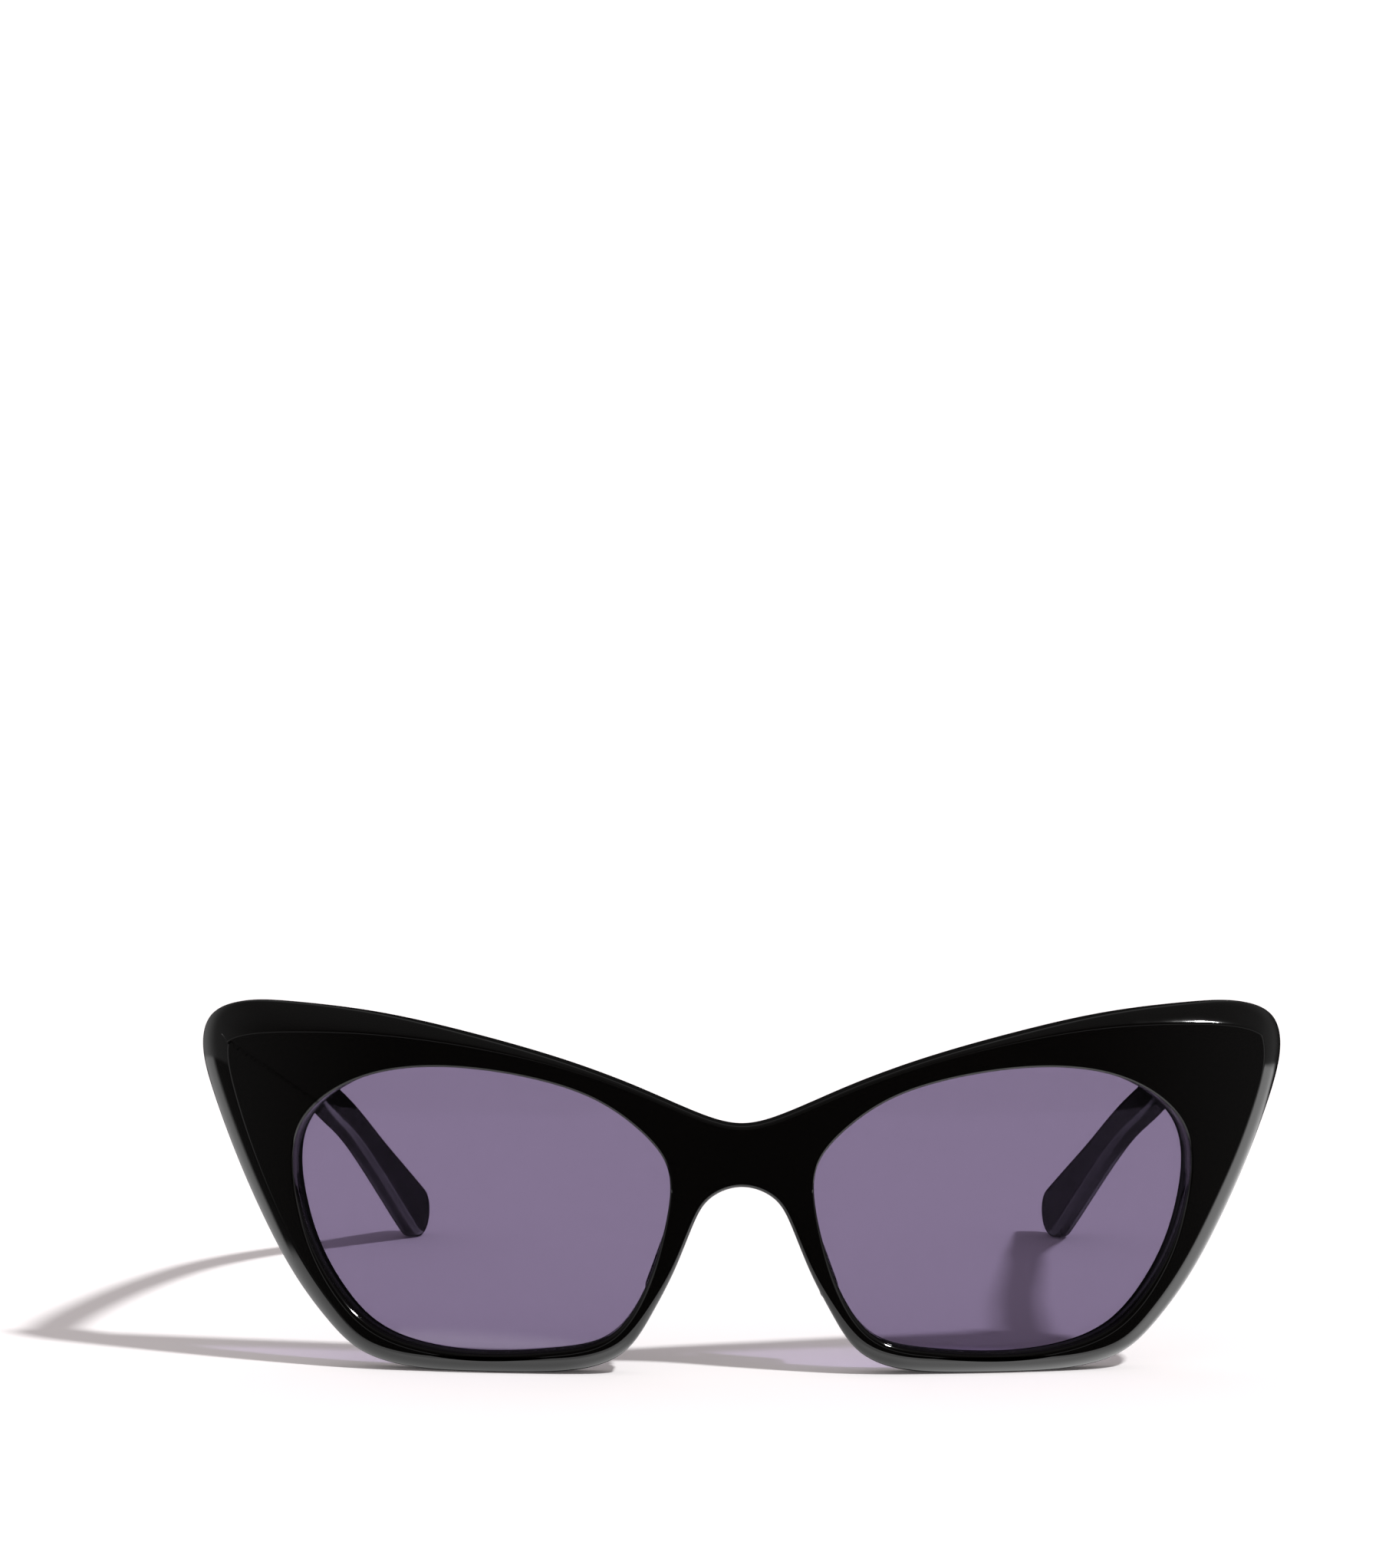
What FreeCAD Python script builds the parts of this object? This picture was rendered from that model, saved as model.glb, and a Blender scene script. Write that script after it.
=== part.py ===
"""Cat eye sunglasses: a bent acetate front, two tinted lenses and two folding temples.

Frame: millimetres, +Z up, the table at z = 0. The width lies along X, the front faces -Y
and the temples run towards +Y. The origin is the centre of the footprint.
+X is the wearer's left, so every piece on that side is named left.
"""
import FreeCAD, Part
import math
import os

V = FreeCAD.Vector
doc = FreeCAD.newDocument("CatEyeSunglasses")

# ---------------------------------------------------------------- driving dimensions (mm)
DIMENSIONS = [
    ("BendRadius", 250.0, "outer radius of the bent front"),
    ("FrontThickness", 5.0, "acetate sheet of the front"),
    ("BandHeight", 60.0, "height of the sheet before the outline is cut"),
    ("OuterRound", 1.5, "rounding of the front outer edge"),
    ("BackRound", 0.7, "rounding of the back outer edge"),
    ("RimRound", 0.5, "rounding of the front edge of the lens openings"),
    ("SphereHeight", 21.5, "height of the lens sphere centre"),
    ("LensDepth", 1.25, "front of the lens behind the front surface"),
    ("LensThickness", 2.0, "tinted lens"),
    ("LensTongue", 0.5, "how far the lens reaches into the rim"),
    ("GrooveClearance", 0.05, "play between lens and groove"),
    ("TempleGap", 0.2, "gap between temple butt and front"),
    ("TempleRound", 1.0, "rounding of the temple edges"),
    ("TipRadius", 4.1, "round end of the temple"),
    ("TipCentreBack", 134.6, "centre of the round end behind the front"),
    ("HingeAcross", 64.4, "hinge axis from the middle"),
    ("HingeBack", 15.6, "hinge axis behind the front"),
    ("HingeHeight", 42.5, "middle of the hinge"),
    ("HingeTurn", 15.4, "slope of the back surface at the hinge, degrees"),
    ("BarrelRadius", 1.6, "hinge barrel"),
    ("BarrelHeight", 1.05, "each of the five barrels"),
    ("BarrelGap", 0.1, "play between barrels"),
    ("ScrewRadius", 0.7, "hinge screw shank"),
    ("ScrewPlay", 0.04, "radial play of the hinge screw"),
    ("ScrewHeadRadius", 1.25, "hinge screw head"),
    ("ScrewHeadHeight", 0.75, "hinge screw head"),
    ("PlateLength", 8.0, "hinge plate"),
    ("FrontPlateHeight", 6.0, "hinge plate on the front"),
    ("TemplePlateHeight", 4.2, "hinge plate on the temple"),
    ("PlateSink", 1.0, "hinge plate below the surface"),
    ("PlateProud", 0.15, "hinge plate above the surface"),
    ("AnchorRadius", 0.5, "hinge anchor post"),
    ("AnchorLength", 1.6, "hinge anchor post beyond the plate"),
    ("AnchorSpread", 3.0, "distance between two anchor posts"),
    ("CoreHeight", 1.3, "core wire, tall side"),
    ("CoreWidth", 1.1, "core wire, thin side"),
    ("CorePlay", 0.05, "play between core wire and its channel"),
    ("PadDepth", 4.0, "nose pad behind the front"),
    ("PadRound", 0.8, "rounding of the nose pad"),
    ("Setback", -69.35, "front vertex in the object's frame"),
]
sheet = doc.addObject("Spreadsheet::Sheet", "Dimensions")
for row, (name, value, meaning) in enumerate(DIMENSIONS, start=1):
    sheet.set("A%d" % row, meaning)
    sheet.set("B%d" % row, "%g" % value)
    sheet.setAlias("B%d" % row, name)
doc.recompute()


def dim(name):
    return float(sheet.get(name))


def bind(obj, **formulas):
    """Tie properties of an object to formulas in the sheet's aliases."""
    for prop, formula in formulas.items():
        text = formula
        for name, _, _ in sorted(DIMENSIONS, key=lambda entry: -len(entry[0])):
            text = replace_word(text, name, "Dimensions." + name)
        obj.setExpression(prop.replace("__", "."), text)


def replace_word(text, word, new):
    out, start = "", 0
    while True:
        at = text.find(word, start)
        if at < 0:
            return out + text[start:]
        before = text[at - 1] if at else " "
        after = text[at + len(word)] if at + len(word) < len(text) else " "
        whole = not (before.isalnum() or before == ".") and not after.isalnum()
        out += text[start:at] + (new if whole else word)
        start = at + len(word)


# ---------------------------------------------------------------- outlines
# half of the front outline (x, z) as seen from the front, from the top of the bridge
# round the brow, the swept corner and the lower rim to the nose arch
OUTLINE = [
    (0, 32.95), (6, 34.4), (14, 37.75), (24.4, 41.45), (36.6, 44.75), (49, 47.3), (60, 48.45),
    (67, 48.4), (71.2, 46.5), (72.4, 42.5), (71.1, 36.6), (68, 28.4), (64.3, 20.25),
    (59.75, 12.15), (55.1, 6.15), (50.4, 2.2), (43, 0.3), (34, 0), (25, 0.15), (19.2, 1.05),
    (15.05, 3.4), (11.9, 8), (8.8, 14.1), (6.3, 20.2), (4.2, 23.4), (0, 24.95),
]
# left lens opening (x, z) on the outer surface, anticlockwise from the nose side
OPENING = [
    (9.45, 25.2), (10.6, 29.1), (13.9, 32.7), (19.5, 36.4), (28, 39.1), (39, 40.4),
    (48.5, 39.4), (55, 36.4), (58.7, 32.3), (59.7, 27.5), (59, 22), (57.3, 16.6),
    (54.3, 11.2), (49.6, 6.2), (43, 3.5), (34.5, 2.6), (25.5, 3.1), (19, 4.4),
    (15.4, 7.2), (12.6, 12), (10.6, 17.8),
]
NEAR, FAR = 10.0, 25.0      # loft planes before and behind the front vertex


def closed_curve(points):
    """Periodic spline in the sketch plane through points, spaced by root of chord."""
    chords = [math.dist(a, b) ** 0.5 for a, b in zip(points, points[1:] + points[:1])]
    steps = [0.0]
    for chord in chords:
        steps.append(steps[-1] + chord)
    curve = Part.BSplineCurve()
    curve.interpolate(Points=[V(x, z, 0) for x, z in points], PeriodicFlag=True,
                      Parameters=steps)
    return curve


def grown(points, distance, count=60):
    """The same outline moved outwards by a distance."""
    if not distance:
        return points
    curve = closed_curve(points)
    first, last = curve.FirstParameter, curve.LastParameter
    area = sum(a[0] * b[1] - b[0] * a[1] for a, b in zip(points, points[1:] + points[:1]))
    sign = 1 if area > 0 else -1
    result = []
    for i in range(count):
        at = first + (last - first) * i / count
        along = curve.tangent(at)[0]
        here = curve.value(at)
        result.append((here.x + sign * along.y * distance, here.y - sign * along.x * distance))
    return result


def on_planes(points):
    """Outline on the near and far loft planes, along radii of the bent front."""
    radius = dim("BendRadius")
    near = [(x * (radius + NEAR) / math.sqrt(radius ** 2 - x ** 2), z) for x, z in points]
    curve_near = closed_curve(near)
    curve_far = curve_near.copy()
    shrink = (radius - FAR) / (radius + NEAR)
    for number, pole in enumerate(curve_near.getPoles(), start=1):
        curve_far.setPole(number, V(pole.x * shrink, pole.y, 0))
    return curve_near, curve_far


UPRIGHT = FreeCAD.Rotation(V(1, 0, 0), 90)      # sketch x, y become object x, z


def pieces_of(curve, count):
    """The closed curve cut at its knots into smooth lengths."""
    knots = curve.getKnots()
    marks = [knots[round(i * (len(knots) - 1) / count)] for i in range(count + 1)]
    pieces = []
    for start, end in zip(marks, marks[1:]):
        piece = curve.copy()
        piece.segment(start, end)
        pieces.append(piece)
    return pieces


def radial_solid(name, points, count):
    """Solid whose walls follow the radii of the bend through an outline."""
    sketches = []
    for end, curve, y in zip(("near", "far"), on_planes(points), (-NEAR, FAR)):
        sketch = doc.addObject("Sketcher::SketchObject", name + "_" + end)
        sketch.Placement = FreeCAD.Placement(V(0, y, 0), UPRIGHT)
        for piece in pieces_of(curve, count):
            sketch.addGeometry(piece, False)
        sketches.append(sketch)
    loft = doc.addObject("Part::Loft", name)
    loft.Sections = sketches
    loft.Solid = True
    loft.Ruled = True
    return loft


def cylinder(name, radius, height, base=(0, 0, 0), axis=(0, 0, 1)):
    obj = doc.addObject("Part::Cylinder", name)
    bind(obj, Radius=radius, Height=height)
    obj.Placement = FreeCAD.Placement(V(*base), FreeCAD.Rotation(V(0, 0, 1), V(*axis)))
    return obj


def sphere(name, radius):
    obj = doc.addObject("Part::Sphere", name)
    bind(obj, Radius=radius)
    bind(obj, Placement__Base__y="BendRadius", Placement__Base__z="SphereHeight")
    return obj


def boolean(kind, name, base, tool):
    obj = doc.addObject("Part::" + kind, name)
    obj.Base = base
    obj.Tool = tool
    return obj


def fused(name, shapes):
    obj = doc.addObject("Part::MultiFuse", name)
    obj.Shapes = shapes
    return obj


def rounded(kind, name, base, edges, first, second=None):
    """Part::Fillet or Part::Chamfer on numbered edges."""
    obj = doc.addObject("Part::" + kind, name)
    obj.Base = base
    obj.Edges = [(number, first, second or first) for number in edges]
    return obj


def edges_where(shape, test):
    """Numbers of the edges whose sample points all pass a test."""
    found = []
    for number, edge in enumerate(shape.Edges, start=1):
        if edge.Length < 1e-4:
            continue
        points = edge.discretize(9)
        if all(test(p) for p in points):
            found.append(number)
    return found


def bend_distance(p):
    return math.hypot(p.x, p.y - dim("BendRadius"))


def sphere_distance(p):
    return (p - V(0, dim("BendRadius"), dim("SphereHeight"))).Length


# ---------------------------------------------------------------- front
# the outline is the one seen from the front, where the rounding of the edge ends
SEEN = dim("BendRadius") / (dim("BendRadius") - dim("OuterRound"))
FULL_OUTLINE = [(x * SEEN, z) for x, z in OUTLINE]
FULL_OUTLINE += [(-x, z) for x, z in FULL_OUTLINE[-2:0:-1]]
OUTLINE_PIECES, OPENING_PIECES = 6, 3
SIDES = (("left", 1), ("right", -1))

outer_bend = cylinder("outer_bend", "BendRadius", "BandHeight", (0, 0, -5))
inner_bend = cylinder("inner_bend", "BendRadius - FrontThickness", "BandHeight", (0, 0, -5))
for bend in (outer_bend, inner_bend):
    bind(bend, Placement__Base__y="BendRadius")
bent_sheet = boolean("Cut", "bent_sheet", outer_bend, inner_bend)
front_outline = radial_solid("front_outline", FULL_OUTLINE, OUTLINE_PIECES)
front_blank = boolean("Common", "front_blank", bent_sheet, front_outline)
doc.recompute()

R, T = dim("BendRadius"), dim("FrontThickness")
ON_FRONT = edges_where(front_blank.Shape, lambda p: abs(bend_distance(p) - R) < 0.01)
front_round = rounded("Fillet", "front_round", front_blank, ON_FRONT, dim("OuterRound"))
doc.recompute()
ON_BACK = edges_where(front_round.Shape, lambda p: abs(bend_distance(p) - R + T) < 0.01)
back_round = rounded("Fillet", "back_round", front_round, ON_BACK, dim("BackRound"))
doc.recompute()


def lens_body(name, points, depth, reach):
    """Spherical shell cut to an outline, its edge bevelled on both sides."""
    front = sphere(name + "_front", "BendRadius - LensDepth + %g" % depth)
    back = sphere(name + "_back", "BendRadius - LensDepth - LensThickness - %g" % depth)
    shell = boolean("Cut", name + "_shell", front, back)
    edge = radial_solid(name + "_edge", grown(points, reach), OPENING_PIECES)
    blank = boolean("Common", name + "_blank", shell, edge)
    doc.recompute()
    bevel = doc.addObject("Part::Chamfer", name)
    bevel.Base = blank
    numbers = []
    outer_radius = R - dim("LensDepth") + depth
    for radius in (outer_radius, outer_radius - dim("LensThickness") - 2 * depth):
        numbers += edges_where(blank.Shape, lambda p: abs(sphere_distance(p) - radius) < 0.01)
    bevel.Edges = [(number, dim("LensTongue"), dim("LensTongue")) for number in numbers]
    doc.recompute()
    return bevel


openings, grooves, lenses = [], [], []
for side, sign in SIDES:
    points = [(sign * x, z) for x, z in OPENING]
    openings.append(radial_solid("opening_" + side, points, OPENING_PIECES))
    play = dim("GrooveClearance")
    grooves.append(lens_body("groove_" + side, points, play, dim("LensTongue") + play))
    lenses.append(lens_body("lens_" + side, points, 0.0, dim("LensTongue")))
opened = boolean("Cut", "front_opened", back_round, fused("openings", openings))
doc.recompute()
ON_RIM = edges_where(opened.Shape, lambda p: abs(bend_distance(p) - R) < 0.01
                     and 8 < abs(p.x) < 61 and 2 < p.z < 41)
rim_round = rounded("Fillet", "rim_round", opened, ON_RIM, dim("RimRound"))
grooved = boolean("Cut", "front_grooved", rim_round, fused("grooves", grooves))
doc.recompute()


# ---------------------------------------------------------------- hinges
def block(name, frame, low, high):
    """Box between two corners given in a local frame."""
    box = doc.addObject("Part::Box", name)
    box.Length, box.Width, box.Height = [b - a for a, b in zip(low, high)]
    box.Placement = frame.multiply(FreeCAD.Placement(V(*low), FreeCAD.Rotation()))
    return box


def post(name, frame, radius, height, base, axis):
    """Cylinder standing on a point of a local frame."""
    obj = doc.addObject("Part::Cylinder", name)
    bind(obj, Radius=radius)
    obj.Height = height
    turn = FreeCAD.Rotation(V(0, 0, 1), V(*axis))
    obj.Placement = frame.multiply(FreeCAD.Placement(V(*base), turn))
    return obj


HINGE = V(dim("HingeAcross"), dim("HingeBack"), dim("HingeHeight"))
# local frames at the hinge axis: x runs along the seat, y away from it
FRONT_SEAT = FreeCAD.Placement(HINGE, FreeCAD.Rotation(V(0, 0, 1), dim("HingeTurn")))
TEMPLE_SEAT = FreeCAD.Placement(HINGE, FreeCAD.Rotation(V(0, 0, 1), 90))
SEAT = dim("BarrelRadius") + 0.3          # hinge axis above either seat
STEP = dim("BarrelHeight") + dim("BarrelGap")
STACK = 5 * dim("BarrelHeight") + 4 * dim("BarrelGap")


def plate_box(name, frame, toward, height, play):
    """The sunk plate, on the -x or +x side of the hinge axis."""
    length, sink, proud = dim("PlateLength"), dim("PlateSink"), dim("PlateProud")
    near, far = sorted((toward * -0.6, toward * length))
    top = proud if not play else 1.0
    return block(name, frame, (near - play, -SEAT - sink - play, -height / 2 - play),
                 (far + play, -SEAT + top, height / 2 + play))


def hinge_leaf(name, frame, toward, levels, height):
    """Plate, anchor posts and the barrels of one leaf, bored for the screw."""
    parts = [plate_box(name + "_plate", frame, toward, height, 0.0)]
    for number, z in enumerate((-dim("AnchorSpread") / 2, dim("AnchorSpread") / 2)):
        base = (toward * 5.4, -SEAT - dim("PlateSink") + 0.1, z)
        parts.append(post("%s_anchor_%d" % (name, number), frame, "AnchorRadius",
                          dim("AnchorLength") + 0.1, base, (0, -1, 0)))
    for level in levels:
        bottom = -STACK / 2 + level * STEP
        parts.append(post("%s_barrel_%d" % (name, level), frame, "BarrelRadius",
                          dim("BarrelHeight"), (0, 0, bottom), (0, 0, 1)))
        low, high = sorted((0, toward * dim("BarrelRadius")))
        parts.append(block("%s_web_%d" % (name, level), frame, (low, -SEAT, bottom),
                           (high, 0, bottom + dim("BarrelHeight"))))
    bore = post(name + "_bore", frame, "ScrewRadius + ScrewPlay", STACK + 2,
                (0, 0, -STACK / 2 - 1), (0, 0, 1))
    return boolean("Cut", name, fused(name + "_solid", parts), bore)


def hinge_pocket(name, frame, toward, height):
    """Room for the sunk plate and its anchor posts."""
    parts = [plate_box(name + "_plate", frame, toward, height, 0.04)]
    for number, z in enumerate((-dim("AnchorSpread") / 2, dim("AnchorSpread") / 2)):
        base = (toward * 5.4, -SEAT - dim("PlateSink") + 0.1, z)
        parts.append(post("%s_anchor_%d" % (name, number), frame, "AnchorRadius + 0.04",
                          dim("AnchorLength") + 0.15, base, (0, -1, 0)))
    return fused(name, parts)


def plane(body, role):
    return next(f for f in body.Origin.OriginFeatures if f.Role == role)


def attached(body, name, role, offset=0.0):
    """Sketch on one of the body's own origin planes."""
    sketch = body.newObject("Sketcher::SketchObject", name)
    sketch.AttachmentSupport = [(plane(body, role), "")]
    sketch.MapMode = "FlatFace"
    sketch.AttachmentOffset = FreeCAD.Placement(V(0, 0, offset), FreeCAD.Rotation())
    return sketch


def outline(sketch, points):
    """Closed straight-sided outline."""
    for a, b in zip(points, points[1:] + points[:1]):
        sketch.addGeometry(Part.LineSegment(V(*a, 0), V(*b, 0)), False)


def hinge_screw(name):
    """Turned screw with a domed, slotted head; its own z is the hinge axis."""
    body = doc.addObject("PartDesign::Body", name)
    section = attached(body, name + "_section", "XZ_Plane")
    shank, head = dim("ScrewRadius"), dim("ScrewHeadRadius")
    top = STACK / 2
    crown = top + dim("ScrewHeadHeight")
    rim = top + 0.45
    points = [(0, -top - 0.3), (shank - 0.15, -top - 0.3), (shank, -top - 0.15), (shank, top),
              (head, top), (head, rim)]
    for a, b in zip(points, points[1:]):
        section.addGeometry(Part.LineSegment(V(*a, 0), V(*b, 0)), False)
    dome = Part.Arc(V(head, rim, 0), V(head * 0.55, crown - 0.08, 0), V(0, crown, 0))
    section.addGeometry(dome, False)
    section.addGeometry(Part.LineSegment(V(0, crown, 0), V(0, -top - 0.3, 0)), False)
    turned = body.newObject("PartDesign::Revolution", name + "_turned")
    turned.Profile = section
    turned.ReferenceAxis = (section, ["V_Axis"])
    turned.Angle = 360
    doc.recompute()
    slot_sketch = attached(body, name + "_slot_sketch", "XY_Plane", crown + 0.1)
    outline(slot_sketch, [(-2, -0.16), (2, -0.16), (2, 0.16), (-2, 0.16)])
    slot = body.newObject("PartDesign::Pocket", name + "_slot")
    slot.Profile = slot_sketch
    slot.Length = 0.5
    doc.recompute()
    if not slot.Shape.Volume < turned.Shape.Volume - 0.05:
        raise RuntimeError("the screw slot cuts nothing")
    body.Placement = FreeCAD.Placement(HINGE, FreeCAD.Rotation(V(0, 0, 1), 35))
    return body


front_leaf = hinge_leaf("front_leaf", FRONT_SEAT, -1, (0, 2, 4), dim("FrontPlateHeight"))
temple_leaf = hinge_leaf("temple_leaf", TEMPLE_SEAT, 1, (1, 3), dim("TemplePlateHeight"))
front_pocket = hinge_pocket("front_pocket", FRONT_SEAT, -1, dim("FrontPlateHeight"))
temple_pocket = hinge_pocket("temple_pocket", TEMPLE_SEAT, 1, dim("TemplePlateHeight"))
screw = hinge_screw("screw")
doc.recompute()


# ---------------------------------------------------------------- temples
# (y, z) behind the front vertex: lower and upper edge of the temple seen from the side
LOWER_EDGE = [(8, 40.1), (24, 39.2), (40, 37.4), (56, 34.6), (72, 30.8), (86, 26.6), (94, 23.4),
              (102, 19.9), (110, 15.2), (122, 7.4)]
UPPER_EDGE = [(8, 46.3), (24, 45.2), (40, 43), (56, 39.9), (72, 35.9), (86, 31.9), (94, 29),
              (102, 25.6), (114, 19.2), (126, 13.1)]
LOWER_SLOPE, UPPER_SLOPE = 31.8, 27.5       # degrees where the edges meet the round end
# (y, x, thickness): inner face of the temple seen from above
PLAN = [(8, 66.3, 3.9), (26, 66.3, 3.8), (45, 65.5, 3.65), (75, 63.7, 3.5), (95, 61, 3.3),
        (110, 57.3, 3.3), (125, 53.6, 3.3), (142, 49.3, 3.3)]
# (y, z) and (y, x) of the core wire's middle
CORE_SIDE = [(8, 42.6), (22, 42.45), (34, 41.1), (44, 39.5), (56, 37.25), (72, 33.35),
             (86, 29.25), (94, 26.2), (102, 22.75), (110, 18.3), (118, 13.4)]
CORE_PLAN = [(8, 68.3), (22, 68.25), (45, 67.3), (75, 65.45), (95, 62.7), (110, 58.95),
             (118, 57)]
SIDEWAYS = FreeCAD.Rotation(V(0, 1, 0), V(0, 0, 1), V(1, 0, 0), "ZXY")


def open_curve(points, start=None, end=None):
    curve = Part.BSplineCurve()
    if end:
        first = V(*points[1], 0) - V(*points[0], 0)
        curve.interpolate(Points=[V(*p, 0) for p in points], InitialTangent=start or first,
                          FinalTangent=end)
    else:
        curve.interpolate(Points=[V(*p, 0) for p in points])
    return curve


def side_profile(name):
    """Temple outline in the y-z plane: two edges, the round end and the butt line."""
    sketch = doc.addObject("Sketcher::SketchObject", name)
    sketch.Placement = FreeCAD.Placement(V(50, 0, 0), SIDEWAYS)
    cy, r = dim("TipCentreBack"), dim("TipRadius")
    low, high = math.radians(LOWER_SLOPE), math.radians(UPPER_SLOPE)
    under = (cy - r * math.sin(low), r - r * math.cos(low))
    over = (cy + r * math.sin(high), r + r * math.cos(high))
    middle = (high + math.pi - low) / 2
    far = (cy + r * math.sin(middle), r + r * math.cos(middle))
    sketch.addGeometry(open_curve(LOWER_EDGE + [under], end=V(math.cos(low), -math.sin(low), 0)))
    sketch.addGeometry(Part.Arc(V(*under, 0), V(*far, 0), V(*over, 0)))
    sketch.addGeometry(open_curve(UPPER_EDGE + [over], end=V(math.cos(high), -math.sin(high), 0)))
    sketch.addGeometry(Part.LineSegment(V(*UPPER_EDGE[0], 0), V(*LOWER_EDGE[0], 0)))
    return sketch


def ribbon(name, first, second, placement):
    """Sketch between two curves, closed by straight ends."""
    sketch = doc.addObject("Sketcher::SketchObject", name)
    sketch.Placement = placement
    sketch.addGeometry(open_curve(first))
    sketch.addGeometry(open_curve(second))
    for a, b in zip((first[0], first[-1]), (second[0], second[-1])):
        sketch.addGeometry(Part.LineSegment(V(*a, 0), V(*b, 0)))
    return sketch


def beside(points, distance):
    """Points moved square to the line through them."""
    moved = []
    for i, (a, b) in enumerate(points):
        before, after = points[max(i - 1, 0)], points[min(i + 1, len(points) - 1)]
        da, db = after[0] - before[0], after[1] - before[1]
        size = math.hypot(da, db)
        moved.append((a - distance * db / size, b + distance * da / size))
    return moved


def extruded(name, sketch, direction, length):
    solid = doc.addObject("Part::Extrusion", name)
    solid.Base = sketch
    solid.Dir = V(*direction)
    solid.DirMode = "Custom"
    solid.LengthFwd = length
    solid.Solid = True
    return solid


FLAT = FreeCAD.Placement(V(0, 0, -5), FreeCAD.Rotation())


def crossed(name, side, plan):
    """What a side profile and a plan profile have in common."""
    doc.recompute()
    along_x = extruded(name + "_along_x", side, (1, 0, 0), 30)
    along_z = extruded(name + "_along_z", plan, (0, 0, 1), 60)
    return boolean("Common", name, along_x, along_z)


def swapped(points):
    return [(b, a) for a, b in points]


def core(name, play, start, end):
    """The flat core wire, or with play its channel, between two distances back."""
    def stretch(points):
        return [p for p in points if start < p[0] < end]
    half_tall = dim("CoreHeight") / 2 + play
    half_thin = dim("CoreWidth") / 2 + play
    side = ribbon(name + "_side", beside(CORE_SIDE, half_tall), beside(CORE_SIDE, -half_tall),
                  FreeCAD.Placement(V(50, 0, 0), SIDEWAYS))
    plan = ribbon(name + "_plan", swapped(beside(CORE_PLAN, half_thin)),
                  swapped(beside(CORE_PLAN, -half_thin)), FLAT)
    whole = crossed(name + "_whole", side, plan)
    trim = doc.addObject("Part::Box", name + "_trim")
    trim.Length, trim.Width, trim.Height = 40, end - start, 60
    trim.Placement.Base = V(45, start, -5)
    return boolean("Common", name, whole, trim)


inner_face = [(x, y) for y, x, _ in PLAN]
outer_face = [(x + thick, y) for y, x, thick in PLAN]
temple_plan = ribbon("temple_plan", inner_face, outer_face, FLAT)
temple_blank = crossed("temple_blank", side_profile("temple_side"), temple_plan)
doc.recompute()
LONG_EDGES = [number for number, edge in enumerate(temple_blank.Shape.Edges, start=1)
              if edge.Length > 12]
temple_round = rounded("Fillet", "temple_round", temple_blank, LONG_EDGES, dim("TempleRound"))
butt_bend = cylinder("butt_bend", "BendRadius - FrontThickness - TempleGap", "BandHeight",
                     (0, 0, -5))
bind(butt_bend, Placement__Base__y="BendRadius")
temple_trimmed = boolean("Common", "temple_trimmed", temple_round, butt_bend)
channel = core("core_channel", dim("CorePlay"), 9.0, 116.4)
core_wire = core("core_wire", 0.0, 15.6, 116.3)
temple = boolean("Cut", "temple", temple_trimmed, fused("temple_room", [temple_pocket, channel]))
doc.recompute()

# ---------------------------------------------------------------- nose pads
# (x, z) centre, half length and half width of the pad's foot and of its far end
PAD_FOOT = (9.6, 15.5, 6.6, 1.15)
PAD_END = (10.1, 15.3, 5.6, 1.2)
PAD_TILT = 110          # degrees from x to the pad's long axis
PAD_START = 3.5         # loft starts inside the front and is cut back to its surface


def pad_sketch(name, centre_x, centre_z, half_length, half_width, y):
    """Slot shape: two straight sides and two half-round ends."""
    sketch = doc.addObject("Sketcher::SketchObject", name)
    sketch.Placement = FreeCAD.Placement(V(0, y, 0), UPRIGHT)
    tilt = math.radians(PAD_TILT)
    along, across = V(math.cos(tilt), math.sin(tilt), 0), V(-math.sin(tilt), math.cos(tilt), 0)
    centre = V(centre_x, centre_z, 0)
    for way in (1, -1):
        end = centre + along * (way * (half_length - half_width))
        start, finish = end + across * (-way * half_width), end + across * (way * half_width)
        sketch.addGeometry(Part.Arc(start, end + along * (way * half_width), finish), False)
        back = centre - along * (way * (half_length - half_width)) + across * (way * half_width)
        sketch.addGeometry(Part.LineSegment(finish, back), False)
    return sketch


pad_back = T + dim("PadDepth")
pad_loft = doc.addObject("Part::Loft", "pad_loft")
pad_loft.Sections = [pad_sketch("pad_foot", *PAD_FOOT, PAD_START),
                     pad_sketch("pad_end", *PAD_END, pad_back)]
pad_loft.Solid = True
pad_loft.Ruled = True
doc.recompute()
PAD_RIM = edges_where(pad_loft.Shape, lambda p: abs(p.y - pad_back) < 0.01)
pad_round = rounded("Fillet", "pad_round", pad_loft, PAD_RIM, dim("PadRound"))
nose_pad = boolean("Common", "nose_pad", pad_round, inner_bend)



def mirrored(obj):
    """The same shape on the wearer's right."""
    other = doc.addObject("Part::Mirroring", obj.Name + "_mirrored")
    other.Source = obj
    other.Normal = V(1, 0, 0)
    return other


front = boolean("Cut", "front", grooved, fused("hinge_rooms", [front_pocket,
                                                               mirrored(front_pocket)]))
doc.recompute()

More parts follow.
